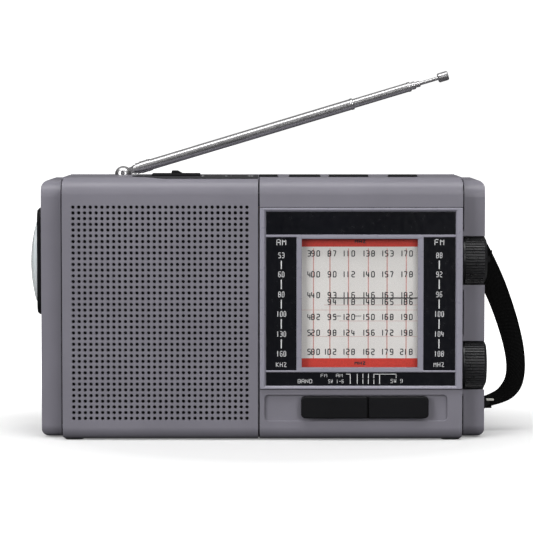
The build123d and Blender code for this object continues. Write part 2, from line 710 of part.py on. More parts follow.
def strap_tabs():
    """A flat metal tab on the cheek behind each end of the strap."""
    y0 = strap_y + strap_thickness
    tabs = []
    for (x, z), high in zip(rivet_places(), (9.0, 4.6)):
        tab = block(case_width / 2, x + 2.8, y0, y0 + 1.2, z - high / 2, z + high / 2)
        tab += block(case_width / 2, case_width / 2 + 0.3, y0, y0 + 8, z - high / 2, z + high / 2)
        tabs.append(tab - rod_y(y0 - 1, y0 + 5, x, z, 1.2))
    return group(tabs)


def strap_rivets():
    rivets = []
    for x, z in rivet_places():
        rivet = rod_y(strap_y, strap_y + strap_thickness + 1.2, x, z, 1.2)
        rivet += rod_y(strap_y - 0.6, strap_y, x, z, rivet_head_r)
        rivet += rod_y(strap_y + strap_thickness + 1.2, strap_y + strap_thickness + 1.8, x, z, rivet_head_r)
        rivets.append(rivet)
    return group(rivets)


# ---- Jacks in the left cheek ----
def earphone_jack():
    x, y = -case_width / 2, jack_y
    jack = rod_x(x - 0.3, x + 4, y, jack_z, 3.5) + rod_x(x + 4, x + 14, y, jack_z, 4.5)
    return jack - rod_x(x - 1, x + 13, y, jack_z, jack_bore_r)


def dc_jack():
    x, y = -case_width / 2, jack_y
    jack = rod_x(x, x + 4, y, dc_jack_z, 4.5) + rod_x(x + 4, x + 14, y, dc_jack_z, 5.5)
    return jack - rod_x(x - 1, x + 10, y, dc_jack_z, 2.8) + rod_x(x + 1, x + 11, y, dc_jack_z, 1.0)


save("speaker_panel", speaker_panel())
save("tuner_panel", tuner_panel())
save("rear_cabinet", rear_cabinet())
save("battery_door", battery_door())
save("battery_contacts", battery_contacts())
save("case_screws", case_screws())
save("rubber_feet", rubber_feet())
save("speaker_cloth", speaker_cloth())
save("speaker_basket", speaker_basket())
save("speaker_cone", speaker_cone())
save("speaker_magnet", speaker_magnet())
save("dial_bezel", dial_bezel())
save("header_plate", printed_plate(*header_plate_box))
save("am_scale_plate", printed_plate(*left_plate_box))
save("fm_scale_plate", printed_plate(*right_plate_box))
save("band_plate", printed_plate(*band_plate_box))
save("dial_window", dial_window())
save("dial_card", dial_card())
save("dial_chassis", dial_chassis())
save("dial_pointer", dial_pointer())
save("pointer_carriage", pointer_carriage())
save("dial_cord", dial_cord())
save("dial_drum", dial_drum())
save("upper_pulley", grooved_wheel(drive_x, pulley_y, upper_pulley_z, pulley_r, 2.4, 1.0 + running_gap))
save("lower_pulley", grooved_wheel(drive_x, pulley_y, lower_pulley_z, pulley_r, 2.4, 1.0 + running_gap))
save("tuning_capacitor", tuning_capacitor())
save("tuning_knob", knob(tuning_z))
save("tuning_spindle", tuning_spindle())
save("volume_knob", knob(volume_z))
save("volume_spindle", volume_spindle())
save("volume_control", volume_control())
save("band_slider", band_slider())
save("band_switch", band_switch())
save("main_board", main_board())
save("ferrite_rod", ferrite_rod())
save("ferrite_coils", ferrite_coils())
save("torch_bezel", torch_bezel())
save("torch_lens", torch_lens())
save("torch_reflector", torch_reflector())
save("torch_lamp", torch_lamp())
save("top_panel", top_panel())
save("switch_plate", switch_plate())
save("torch_switch_knob", torch_switch_knob())
for button, (x, width) in buttons.items():
    save(button, push_button(x, width))
save("antenna_turret", antenna_turret())
save("antenna_knuckle", antenna_knuckle())
save("antenna_pin", antenna_pin())
for i in range(len(tube_radii)):
    save(f"antenna_tube_{i + 1}", antenna_tube(i))
save("antenna_tip", antenna_tip())
save("hand_strap", hand_strap())
save("strap_tabs", strap_tabs())
save("strap_rivets", strap_rivets())
save("earphone_jack", earphone_jack())
save("dc_jack", dc_jack())
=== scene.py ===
"""The looks of the portable shortwave receiver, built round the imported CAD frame.

Metres, in the frame's own axes: X to the right, Y to the back, Z up. Places come from the CAD nodes'
boxes. Sizes that are easier to read in millimetres are written as a number times MM.
"""

import json
import math

import bmesh
import bpy
from mathutils import Matrix, Vector


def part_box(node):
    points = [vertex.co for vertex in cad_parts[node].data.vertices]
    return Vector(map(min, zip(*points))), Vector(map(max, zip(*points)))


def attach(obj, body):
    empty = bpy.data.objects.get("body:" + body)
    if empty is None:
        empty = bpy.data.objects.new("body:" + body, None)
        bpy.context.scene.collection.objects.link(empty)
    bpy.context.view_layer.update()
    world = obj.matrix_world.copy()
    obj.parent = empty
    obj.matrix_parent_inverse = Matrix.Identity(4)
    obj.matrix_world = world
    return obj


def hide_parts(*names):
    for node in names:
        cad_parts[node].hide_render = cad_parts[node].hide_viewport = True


MM = 0.001

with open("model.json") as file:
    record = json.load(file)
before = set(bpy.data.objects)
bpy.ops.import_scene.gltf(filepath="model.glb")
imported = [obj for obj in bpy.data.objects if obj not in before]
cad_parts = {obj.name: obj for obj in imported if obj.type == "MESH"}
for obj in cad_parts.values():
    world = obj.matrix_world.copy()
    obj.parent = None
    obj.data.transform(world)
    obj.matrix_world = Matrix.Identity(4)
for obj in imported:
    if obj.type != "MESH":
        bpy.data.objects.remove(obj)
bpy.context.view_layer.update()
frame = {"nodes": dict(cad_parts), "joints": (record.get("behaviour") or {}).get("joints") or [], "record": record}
nodes = frame["nodes"]

case_low, case_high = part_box("rear_cabinet")
front_low, front_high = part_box("tuner_panel")
middle_x = (case_low[0] + case_high[0]) / 2
front_y = front_low[1]


# ---- Camera ----
def make_camera():
    """Level with the photograph: slightly above, square to the front, through a long lens."""
    distance, elevation = 1.25, math.radians(3.5)
    target = Vector((middle_x + 1.7 * MM, front_y, 82.8 * MM))
    away = Vector((0, -math.cos(elevation), math.sin(elevation)))
    data = bpy.data.cameras.new("camera")
    data.lens = 178.5
    data.sensor_width = 36.0
    data.clip_end = 50.0
    camera = bpy.data.objects.new("camera", data)
    camera.location = target + away * distance
    camera.rotation_euler = (-away).to_track_quat("-Z", "Y").to_euler()
    bpy.context.collection.objects.link(camera)
    bpy.context.scene.camera = camera


# ---- Materials ----
class Shader:
    """A material's node tree, with short calls for the nodes that this scene uses."""

    def __init__(self, name, color=(0.5, 0.5, 0.5), rough=0.5, metallic=0.0, **sockets):
        self.material = bpy.data.materials.new(name)
        self.material.use_nodes = True
        self.tree = self.material.node_tree
        self.surface = self.tree.nodes["Principled BSDF"]
        self.set("Base Color", (*color[:3], 1.0))
        self.set("Roughness", rough)
        self.set("Metallic", metallic)
        for socket, value in sockets.items():
            self.set(socket.replace("_", " ").title().replace("Ior", "IOR"), value)
        self.place = None

    def set(self, socket, value):
        self.surface.inputs[socket].default_value = value

    def link(self, a, b):
        self.tree.links.new(a, b)

    def node(self, kind, inputs=None, **attributes):
        node = self.tree.nodes.new(kind)
        for key, value in attributes.items():
            setattr(node, key, value)
        for key, value in (inputs or {}).items():
            if hasattr(value, "links"):
                self.link(value, node.inputs[key])
            else:
                node.inputs[key].default_value = value
        return node

    def coordinates(self, source="Object"):
        if self.place is None:
            self.place = self.node("ShaderNodeTexCoord")
        return self.place.outputs[source]

    def noise(self, scale, detail=3.0, rough=0.5, vector=None):
        vector = vector if vector is not None else self.coordinates()
        settings = {"Vector": vector, "Scale": scale, "Detail": detail, "Roughness": rough}
        return self.node("ShaderNodeTexNoise", settings).outputs["Fac"]

    def ramp(self, value, low, high, at_low=0.0, at_high=1.0):
        settings = {"Value": value, "From Min": low, "From Max": high, "To Min": at_low, "To Max": at_high}
        return self.node("ShaderNodeMapRange", settings).outputs["Result"]

    def math(self, operation, a, b=0.0):
        return self.node("ShaderNodeMath", {0: a, 1: b}, operation=operation).outputs[0]

    def mix(self, factor, a, b):
        settings = {"Factor": factor}
        node = self.node("ShaderNodeMix", settings, data_type="RGBA")
        for socket, value in ((node.inputs[6], a), (node.inputs[7], b)):
            if hasattr(value, "links"):
                self.link(value, socket)
            else:
                socket.default_value = (*value[:3], 1.0)
        return node.outputs[2]

    def tint(self, value, color, spread):
        """Varies a colour a little, by a factor from 0 to 1."""
        dark = [c * (1 - spread) for c in color]
        light = [min(c * (1 + spread), 1.0) for c in color]
        self.link(self.mix(value, dark, light), self.surface.inputs["Base Color"])

    def roughness(self, value, low, high):
        self.link(self.ramp(value, 0.3, 0.7, low, high), self.surface.inputs["Roughness"])

    def bump(self, height, strength, distance, edge=0.0):
        """Relief from a height, over edges that look rounded by edge metres."""
        settings = {"Height": height, "Strength": strength, "Distance": distance}
        node = self.node("ShaderNodeBump", settings)
        if edge:
            rounded = self.node("ShaderNodeBevel", {"Radius": edge}, samples=6)
            self.link(rounded.outputs[0], node.inputs["Normal"])
        self.link(node.outputs[0], self.surface.inputs["Normal"])


def moulded(name, color, rough, grain=0.25, spread=0.04, edge=0.35 * MM, **sockets):
    """Moulded plastic: a fine spark-eroded grain, faint flow in the colour, and soft edges."""
    shader = Shader(name, color, rough, **sockets)
    fine = shader.noise(5200, 2.0)
    broad = shader.noise(26, 3.0)
    shader.tint(shader.ramp(broad, 0.35, 0.65), color, spread)
    shader.roughness(shader.noise(420, 3.0), rough - 0.05, rough + 0.06)
    shader.bump(fine, grain, 0.05 * MM, edge)
    return shader.material


def polished(name, color, rough=0.12, scuff=0.05):
    """Plated metal, drawn lengthways, with faint handling marks in its gloss."""
    shader = Shader(name, color, rough, 1.0)
    marks = shader.noise(220, 4.0, 0.6)
    shader.roughness(marks, rough, rough + scuff)
    shader.tint(shader.noise(60), color, 0.04)
    shader.bump(shader.noise(900), 0.02, 0.002 * MM)
    return shader.material


def woven(name, color, scale, rough=0.85, depth=0.6, source="UV", sheen=0.25, **sockets):
    """Plain weave: threads along and across, each crowned, with fibre noise in the colour and painted shade in the
    hollows between the threads.
    """
    shader = Shader(name, color, rough, sheen_weight=sheen, **sockets)
    parts = shader.node("ShaderNodeSeparateXYZ", {"Vector": shader.coordinates(source)})
    across = shader.math("SINE", shader.math("MULTIPLY", parts.outputs[0], scale * math.pi))
    lengthways = parts.outputs[1 if source == "UV" else 2]
    along = shader.math("SINE", shader.math("MULTIPLY", lengthways, scale * math.pi))
    weave = shader.math("MULTIPLY", across, along)
    height = shader.ramp(weave, -1.0, 1.0)
    fibre = shader.noise(3800, 2.0)
    # colour from the weave height is painted shade, with hollows darker and crowns lighter; the fibre noise is the
    # thread's own tone
    shade = shader.math("ADD", shader.math("MULTIPLY", height, 0.6), shader.math("MULTIPLY", fibre, 0.4))
    shader.tint(shade, color, 0.5)
    shader.bump(shader.math("ADD", height, shader.math("MULTIPLY", fibre, 0.4)), depth, 0.25 * MM)
    return shader.material


def printed(name, color, spread=0.1):
    """Screen-printed ink, a little uneven; the black and faint red inks also draw painted shadow strips and lines.
    """
    shader = Shader(name, color, 0.55)
    shader.tint(shader.ramp(shader.noise(1600, 4.0), 0.35, 0.65), color, spread)
    return shader.material


def dial_paper():
    """Off-white printed card with faint fibre mottling."""
    color = (0.75, 0.73, 0.705)
    shader = Shader("dial_paper_ink", color, 0.7)
    broad = shader.math("MULTIPLY", shader.noise(90, 4.0), 0.5)
    fine = shader.math("MULTIPLY", shader.noise(900), 0.5)
    mottle = shader.math("ADD", broad, fine)
    shader.tint(shader.ramp(mottle, 0.35, 0.65), color, 0.02)
    shader.bump(shader.noise(2500), 0.04, 0.02 * MM)
    return shader.material


def clear_plastic(name, alpha, color=(0.9, 0.93, 0.95), rough=0.04):
    """Clear moulding, thin enough that light goes straight through it."""
    shader = Shader(name, color, rough, alpha=alpha)
    shader.roughness(shader.noise(300, 4.0), rough, rough + 0.04)
    shader.tint(shader.noise(40), color, 0.03)
    return shader.material


def magnet_grey():
    shader = Shader("ferrite_grey", (0.035, 0.035, 0.038), 0.6)
    shader.tint(shader.noise(700, 4.0), (0.035, 0.035, 0.038), 0.3)
    shader.bump(shader.noise(2400), 0.3, 0.1 * MM)
    return shader.material


def pressed_paper():
    shader = Shader("cone_paper_fibre", (0.03, 0.028, 0.026), 0.85)
    shader.tint(shader.noise(1500, 5.0), (0.03, 0.028, 0.026), 0.35)
    shader.bump(shader.noise(1800, 4.0), 0.4, 0.15 * MM)
    return shader.material


case_material = moulded("case_grey", (0.186, 0.179, 0.210), 0.36, 0.3)
bezel_material = moulded("bezel_grey", (0.27, 0.263, 0.315), 0.3, 0.12, edge=0.3 * MM)
black_material = moulded("satin_black", (0.004, 0.004, 0.005), 0.42, 0.25, 0.25, specular_ior_level=0.16)
knob_material = moulded("knob_black", (0.012, 0.012, 0.014), 0.3, 0.15, 0.2, specular_ior_level=0.5)
panel_material = moulded("panel_black", (0.028, 0.028, 0.031), 0.55, 0.25, 0.1, specular_ior_level=0.12)
enamel_material = moulded("black_enamel", (0.003, 0.003, 0.0035), 0.4, 0.05, 0.2, specular_ior_level=0.2)
gloss_black_material = moulded(
    "gloss_black", (0.0035, 0.0038, 0.006), 0.22, 0.02, 0.2, specular_ior_level=0.3,
)
rubber_material = moulded("foot_rubber", (0.015, 0.015, 0.015), 0.75, 0.4, 0.2)
chrome_material = polished("chrome_plate", (0.52, 0.515, 0.52), 0.25, 0.05)
steel_material = polished("plain_steel", (0.55, 0.55, 0.56), 0.28, 0.12)
copper_material = polished("enamelled_copper", (0.45, 0.17, 0.06), 0.3)
needle_material = moulded("needle_black", (0.02, 0.018, 0.018), 0.45, 0.1)
white_plastic_material = moulded("natural_nylon", (0.72, 0.71, 0.66), 0.45, 0.15)
board_material = moulded("phenolic_board", (0.22, 0.13, 0.05), 0.4, 0.2)
webbing_material = woven(
    "webbing_nylon", (0.002, 0.002, 0.002), 1100, depth=0.9, sheen=0.0, specular_ior_level=0.12,
)
cloth_material = woven("grille_cloth_weave", (0.012, 0.012, 0.013), 2600, source="Object", sheen=0.1)
cord_material = woven("waxed_thread", (0.5, 0.42, 0.3), 3000, source="Object", sheen=0.1)
clear_material = clear_plastic("clear_acrylic", 0.03, (0.02, 0.02, 0.02))
lens_material = clear_plastic("clear_lens", 0.6, (0.74, 0.82, 0.85), 0.06)
lamp_material = clear_plastic("lamp_glass_clear", 0.3)
mirror_material = polished("reflector_silver", (0.86, 0.87, 0.88), 0.08, 0.03)
paper_material = dial_paper()
white_ink = printed("white_ink", (0.66, 0.66, 0.67))
black_ink_and_painted_shadow = printed("black_ink_and_painted_shadow", (0.004, 0.004, 0.005))
grey_ink = printed("dark_grey_ink", (0.02, 0.022, 0.028))
red_ink = printed("brick_red_ink", (0.56, 0.036, 0.022))
pale_red_ink = printed("pale_red_ink", (0.62, 0.29, 0.26), 0.14)
faint_red_ink_and_pointer_shadow = printed("faint_red_ink_and_pointer_shadow", (0.66, 0.50, 0.475), 0.1)

SLOT_MATERIALS = {
    "case_plastic": case_material, "bezel_plastic": bezel_material, "black_plastic": black_material,
    "black_gloss": gloss_black_material, "dial_paper": paper_material, "clear_plastic": clear_material,
    "needle_paint": needle_material, "chrome": chrome_material, "steel": steel_material,
    "spring_steel": steel_material, "white_plastic": white_plastic_material, "drive_cord": cord_material,
    "grille_cloth": cloth_material, "cone_paper": pressed_paper(), "magnet": magnet_grey(),
    "board": board_material, "ferrite": magnet_grey(), "copper_wire": copper_material,
    "reflector": mirror_material, "lamp_glass": lamp_material, "rubber": rubber_material,
    "webbing": webbing_material,
}


def dress_cad_nodes():
    """Gives every CAD node the material of its slot, and a few their own variant of it."""
    variants = {
        "top_panel": panel_material, "torch_lens": lens_material, "tuning_knob": knob_material,
        "volume_knob": knob_material, "strap_tabs": enamel_material, "strap_rivets": enamel_material,
    }
    for entry in frame["record"]["subparts"]:
        material = variants.get(entry["node"], SLOT_MATERIALS[entry["material_slot"]])
        mesh = nodes[entry["node"]].data
        mesh.materials.clear()
        mesh.materials.append(material)


# ---- Mesh helpers ----
def add_piece(name, mesh, material, body):
    mesh.materials.append(material)
    piece = bpy.data.objects.new(name, mesh)
    bpy.context.collection.objects.link(piece)
    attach(piece, body)
    return piece


def mesh_from(name, build):
    """A mesh from a function that fills a bmesh."""
    form = bmesh.new()
    build(form)
    bmesh.ops.recalc_face_normals(form, faces=form.faces)
    mesh = bpy.data.meshes.new(name)
    form.to_mesh(mesh)
    form.free()
    return mesh


def add_bar(form, x, y, z, soft=0.25 * MM):
    """A bar between three pairs of coordinates, with its edges rounded."""
    size = [high - low for low, high in (x, y, z)]
    middle = [(low + high) / 2 for low, high in (x, y, z)]
    place = Matrix.Translation(middle) @ Matrix.Diagonal((*size, 1))
    made = bmesh.ops.create_cube(form, size=1.0, matrix=place)
    edges = {edge for vert in made["verts"] for edge in vert.link_edges}
    offset = min(soft, min(size) * 0.3)
    bmesh.ops.bevel(form, geom=list(edges), offset=offset, segments=3, profile=0.5, affect="EDGES")


# Each character's strokes on a grid one wide and two high.
STROKES = {
    "0": [((0, 0), (1, 0), (1, 2), (0, 2), (0, 0))],
    "1": [((0.5, 0), (0.5, 2))],
    "2": [((0, 2), (1, 2), (1, 1), (0, 1), (0, 0), (1, 0))],
    "3": [((0, 2), (1, 2), (1, 0), (0, 0)), ((0.3, 1), (1, 1))],
    "4": [((0, 2), (0, 0.7), (1, 0.7)), ((0.8, 1.6), (0.8, 0))],
    "5": [((1, 2), (0, 2), (0, 1.1), (1, 1.1), (1, 0), (0, 0))],
    "6": [((1, 2), (0, 2), (0, 0), (1, 0), (1, 1.1), (0, 1.1))],
    "7": [((0, 2), (1, 2), (0.4, 0))],
    "8": [((0, 0), (1, 0), (1, 2), (0, 2), (0, 0)), ((0, 1), (1, 1))],
    "9": [((1, 0.9), (0, 0.9), (0, 2), (1, 2), (1, 0), (0, 0))],
    "A": [((0, 0), (0, 2), (1, 2), (1, 0)), ((0, 0.9), (1, 0.9))],
    "F": [((1, 2), (0, 2), (0, 0)), ((0, 1), (0.8, 1))],
    "H": [((0, 0), (0, 2)), ((1, 0), (1, 2)), ((0, 1), (1, 1))],
    "K": [((0, 0), (0, 2)), ((1, 2), (0, 1), (1, 0))],
    "M": [((0, 0), (0, 2), (0.5, 1), (1, 2), (1, 0))],
    "S": [((1, 2), (0, 2), (0, 1.1), (1, 1.1), (1, 0), (0, 0))],
    "W": [((0, 2), (0.2, 0), (0.5, 1.2), (0.8, 0), (1, 2))],
    "Z": [((0, 2), (1, 2), (0, 0), (1, 0))],
    "B": [((0, 0), (0, 2), (1, 2), (1, 0), (0, 0)), ((0, 1), (1, 1))],
    "N": [((0, 0), (0, 2), (1, 0), (1, 2))],
    "D": [((0, 0), (0, 2), (1, 2), (1, 0), (0, 0))],
    "-": [((0, 1), (1, 1))],
}


def cut_corners(line, cut=0.26):
    """The line with each inner corner replaced by a short slant."""
    points = [Vector(point) for point in line]
    smooth = [points[0]]
    for before, corner, after in zip(points, points[1:], points[2:]):
        smooth.append(corner + (before - corner).normalized() * cut)
        smooth.append(corner + (after - corner).normalized() * cut)
    return smooth + [points[-1]]


def add_letters(form, text, x, y, z, height, width=0.36, gap=0.26, stroke=0.12, align=0.5):
    """Flat stroked characters that face the front. The sizes after height are shares of it."""
    whole = height * (len(text) * width + (len(text) - 1) * gap)
    half = height * stroke / 2
    left = x - whole * align
    for i, character in enumerate(text):
        for line in STROKES.get(character, []):
            start = Vector((left + i * height * (width + gap), z - height / 2 + half))
            scale = Vector((height * width, height / 2 - half))
            points = [start + Vector((p.x * scale.x, p.y * scale.y)) for p in cut_corners(line)]
            for a, b in zip(points, points[1:]):
                along = (b - a).normalized() * half
                side = Vector((-along.y, along.x))
                past = along * 0.4
                corners = (a - past - side, b + past - side, b + past + side, a - past + side)
                form.faces.new([form.verts.new((corner.x, y, corner.y)) for corner in corners])


def add_patch(form, x, y, z):
    """A thin flat patch whose face is at y: printed marks, and in places painted shadow."""
    outline = ((x[0], z[0]), (x[1], z[0]), (x[1], z[1]), (x[0], z[1]))
    corners = [form.verts.new((px, y, pz)) for px, pz in outline]
    form.faces.new(corners)


def from_middle(x):
    """An X in millimetres from the middle of the case."""
    return middle_x + x * MM


# ---- Dial ----
CARD_LINES = (24.0, 31.8, 40.6, 50.0, 58.9, 68.0)
CARD_ROWS = (88.8, 78.9, 69.0, 58.6, 51.1, 42.0)
CARD_NUMBERS = (
    ("39 0", "8 7", "11 0", "13 8", "15 3", "17 0"), ("40 0", "9 0", "11 2", "14 0", "15 7", "17 8"),
    ("44 0", "9 3", "11 6", "14 6", "16 3", "18 2"), ("48 2", "9 5", "12 0", "15 0", "16 8", "19 0"),
    ("52 0", "9 8", "12 4", "15 6", "17 2", "19 8"), ("58 0", "10 2", "12 8", "16 2", "17 9", "21 8"),
)
SECOND_ROW = 65.8  # a row close under the third, without its first column
SECOND_NUMBERS = ("9 4", "11 8", "14 8", "16 5", "18 6")
SCALE_ROWS = (88.1, 79.1, 69.6, 60.3, 50.8, 41.4)
CARD_TYPE = {"height": 3.0 * MM, "width": 0.42, "gap": 0.18, "stroke": 0.15}
INK = 0.02 * MM  # how far each print stands off what it is on


def make_card_print():
    low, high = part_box("dial_card")
    opening_low, opening_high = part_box("dial_window")
    face = low[1]
    band_high = (opening_high[2] - 3.9 * MM, high[2])
    band_low = (low[2], opening_low[2] + 4.1 * MM)

    def red_bands(form):
        add_patch(form, (low[0], high[0]), face - INK, band_high)
        add_patch(form, (low[0], high[0]), face - INK, band_low)

    def red_lines(form):
        tall = (band_low[1], band_high[0] - 0.8 * MM)
        for x in CARD_LINES:
            x = from_middle(x)
            add_patch(form, (x - 0.22 * MM, x + 0.22 * MM), face - 3 * INK, tall)

    def faint_lines(form):
        # Painted shadow among print: the line at 64.3 mm, close under the pointer, is the pointer's shadow drawn
        # in pale red; the lines at 61.9 and 49.3 mm are printed.
        for z, left in ((64.3, 29.0), (61.9, 18.4), (56.7, 36.0), (49.3, 21.0)):
            tall = (z * MM - 0.14 * MM, z * MM + 0.14 * MM)
            add_patch(form, (from_middle(left), high[0]), face - 2 * INK, tall)

    def numbers(form):
        y = face - 4 * INK
        rows = [(z, zip(CARD_LINES, row)) for z, row in zip(CARD_ROWS, CARD_NUMBERS)]
        rows.append((SECOND_ROW, zip(CARD_LINES[1:], SECOND_NUMBERS)))
        for z, row in rows:
            for x, number in row:
                whole, tenth = number.split()
                for text, place, align in ((whole, x + 0.35, 1.0), (tenth, x + 1.6, 0.0)):
                    add_letters(form, text, from_middle(place), y, z * MM, align=align, **CARD_TYPE)
        for x in (35.7, 45.3):
            add_patch(form, (from_middle(x - 1.6), from_middle(x + 1.4)), y, (58.9 * MM, 59.2 * MM))
        for z in (94.5 * MM, 36.6 * MM):
            add_letters(form, "MHZ", from_middle(46.2), y, z, 1.7 * MM, 0.7, 0.4, 0.26)

    for name, build, ink in (
        ("card_red_bands", red_bands, red_ink), ("card_faint_lines", faint_lines, faint_red_ink_and_pointer_shadow),
        ("card_red_lines", red_lines, pale_red_ink), ("card_numbers", numbers, grey_ink),
    ):
        add_piece(name, mesh_from(name, build), ink, "case")


def make_scale_print():
    """White marks on the two side plates and the band plate."""
    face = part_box("am_scale_plate")[0][1] - INK
    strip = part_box("band_plate")
    middle, tall = (strip[0][2] + strip[1][2]) / 2, (strip[1][2] - strip[0][2]) * 0.76

    def side_scale(form, x, heading, numbers, unit):
        add_letters(form, heading, x, face, 94.3 * MM, 2.9 * MM, 0.55, 0.35)
        for z, number in zip(SCALE_ROWS, numbers):
            add_letters(form, number, x, face, z * MM, 2.7 * MM, 0.34, 0.28)
        for z, below in zip(SCALE_ROWS, SCALE_ROWS[1:]):
            add_patch(form, (x - 0.25 * MM, x + 0.25 * MM), face, ((below + 2.5) * MM, (z - 2.5) * MM))
        add_letters(form, unit, x, face, 36.2 * MM, 2.2 * MM, 0.5, 0.34)

    def band_marks(form):
        for i, x in enumerate((41.4, 44.7, 47.4, 50.0, 52.6, 55.3)):
            x = from_middle(x)
            low, high = middle - tall / 2, middle + tall / 2
            halves = ((low, middle - 0.3 * MM), (middle + 0.3 * MM, high))
            spans = ((low, high),) if i in (0, 1, 5) else halves
            for span in spans:
                add_patch(form, (x - 0.17 * MM, x + 0.17 * MM), face, span)
        top = middle + tall / 2
        add_patch(form, (from_middle(39.4), from_middle(41.4)), face, (top - 0.3 * MM, top))
        add_patch(form, (from_middle(52.6), from_middle(63.3)), face, (top - 0.3 * MM, top))
        add_patch(form, (from_middle(63.0), from_middle(63.3)), face, (middle + 0.4 * MM, top))
        for text, x, z, height, width in (
            ("BAND", 19.9, -1.1, 2.0, 0.6), ("FM", 28.9, 1.6, 1.6, 0.75), ("AM", 36.2, 1.6, 1.6, 0.75),
            ("SW 1-6", 34.6, -1.2, 1.8, 0.42), ("SW 9", 63.4, -1.0, 1.9, 0.5),
        ):
            add_letters(form, text, from_middle(x), face, middle + z * MM, height * MM, width, 0.3)

    def everything(form):
        side_scale(form, from_middle(8.7), "AM", ("53", "60", "80", "100", "130", "160"), "KHZ")
        side_scale(form, from_middle(83.4), "FM", ("88", "92", "96", "100", "104", "108"), "MHZ")
        band_marks(form)

    add_piece("scale_marks", mesh_from("scale_marks", everything), white_ink, "case")


def make_dial_bars():
    """The raised bars of the bezel between the plates and round the dial's opening."""
    left_low, left_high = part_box("am_scale_plate")
    right_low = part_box("fm_scale_plate")[0]
    header_low, header_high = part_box("header_plate")
    band_low, band_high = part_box("band_plate")
    opening_low, opening_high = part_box("dial_window")
    bezel_low, bezel_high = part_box("dial_bezel")
    depth = (front_y - 0.8 * MM, front_y + 0.02 * MM)
    upright_depth = (front_y - 0.77 * MM, front_y + 0.02 * MM)
    inner = (header_low[0] - 0.3 * MM, header_high[0] + 0.3 * MM)
    upright = (opening_low[2] - 0.1 * MM, opening_high[2] + 0.1 * MM)

    def bars(form):
        add_bar(form, inner, depth, (left_high[2], header_low[2]))
        add_bar(form, inner, depth, (band_high[2], left_low[2]))
        add_bar(form, (left_high[0], opening_low[0]), upright_depth, upright)
        add_bar(form, (opening_high[0], right_low[0]), upright_depth, upright)
        add_bar(form, (left_high[0], right_low[0]), depth, (opening_high[2], left_high[2] + 0.4 * MM))
        add_bar(form, (left_high[0], right_low[0]), depth, (left_low[2] - 0.4 * MM, opening_low[2]))

    def shadow_lines(form):
        """Painted shadow: black ink for the dark joint line above and below the bezel, where the fine groove's
        shade falls.
        """
        for z in ((bezel_high[2], bezel_high[2] + 0.35 * MM), (bezel_low[2] - 0.35 * MM, bezel_low[2])):
            add_patch(form, (bezel_low[0] + 0.2 * MM, bezel_high[0]), front_y - 0.05 * MM, z)

    add_piece("dial_bars", mesh_from("dial_bars", bars), bezel_material, "case")
    add_piece("bezel_painted_shadow", mesh_from("bezel_painted_shadow", shadow_lines), black_ink_and_painted_shadow, "case")


def make_groove_painted_shadow():
    """Painted shadow: black strips at the bottom of the gap between the front cabinet and each cheek, where the
    gap's shade falls.
    """
    left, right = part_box("speaker_panel")[0][0], front_high[0]
    wide, y = 1.2 * MM, front_y + 11.7 * MM
    tall = (front_low[2] + 6 * MM, front_high[2] - 8 * MM)

    def lines(form):
        add_patch(form, (left - wide, left), y, tall)
        add_patch(form, (right, right + wide), y, tall)

    add_piece("groove_painted_shadow", mesh_from("groove_painted_shadow", lines), black_ink_and_painted_shadow, "case")


# ---- Top ----
def make_top_print():
    """The legends on the top's dark panel: black fields with small light marks beside them."""
    low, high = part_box("top_panel")
    face = high[2] + INK
    front = low[1] + 9 * MM

    def flat(form, x, y):
        corners = ((x[0], y[0]), (x[1], y[0]), (x[1], y[1]), (x[0], y[1]))
        form.faces.new([form.verts.new((from_middle(px), py, face)) for px, py in corners])

    def fields(form):
        for x in ((-27.6, -18.6), (-16.2, -8.2)):
            flat(form, x, (front, front + 18 * MM))

    def marks(form):
        for x in (-28.9, -17.6, -15.2, -6.6, -5.2):
            flat(form, (x - 0.5, x + 0.5), (front, front + 7 * MM))
        for x in (-39.0, -35.5):
            flat(form, (x - 0.6, x + 0.6), (high[1] - 6 * MM, high[1] - 3 * MM))

    add_piece("panel_fields", mesh_from("panel_fields", fields), black_ink_and_painted_shadow, "case")
    add_piece("panel_marks", mesh_from("panel_marks", marks), white_ink, "case")


# ---- Antenna ----
def make_antenna_rings():
    """The rolled end of each tube, where the next one comes out."""
    joints = {joint["name"]: joint for joint in frame["joints"]}
    along = Vector(joints["tip_slide"]["axis"]).normalized()
    turn = along.to_track_quat("Z", "Y").to_matrix().to_4x4()
    for i, body in enumerate(("arm", "section_2", "section_3", "section_4")):
        low, high = (Vector(corner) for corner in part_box(f"antenna_tube_{i + 1}"))
        radius = (high.y - low.y) / 2
        # the tube's top end: its box reaches past the end's centre by the tilted end's own half height
        end = Vector((high.x - radius * along.z, (low.y + high.y) / 2, high.z - radius * along.x))

        def ring(form, radius=radius, end=end):
            profile = (
                (1.0, -1.5), (1.05, -1.4), (1.07, -1.0), (1.07, -0.5), (1.04, -0.2), (0.96, 0.0), (0.86, 0.1),
            )
            circles = []
            for scale, step in profile:
                made = bmesh.ops.create_circle(
                    form, segments=48, radius=radius * scale,
                    matrix=Matrix.Translation(end + along * step * MM) @ turn,
                )
                circles.append(made["verts"])
            for lower, upper in zip(circles, circles[1:]):
                for k in range(48):
                    form.faces.new((lower[k], lower[(k + 1) % 48], upper[(k + 1) % 48], upper[k]))

        name = f"tube_end_{i + 1}"
        piece = add_piece(name, mesh_from(name, ring), chrome_material, body)
        piece.data.shade_smooth()


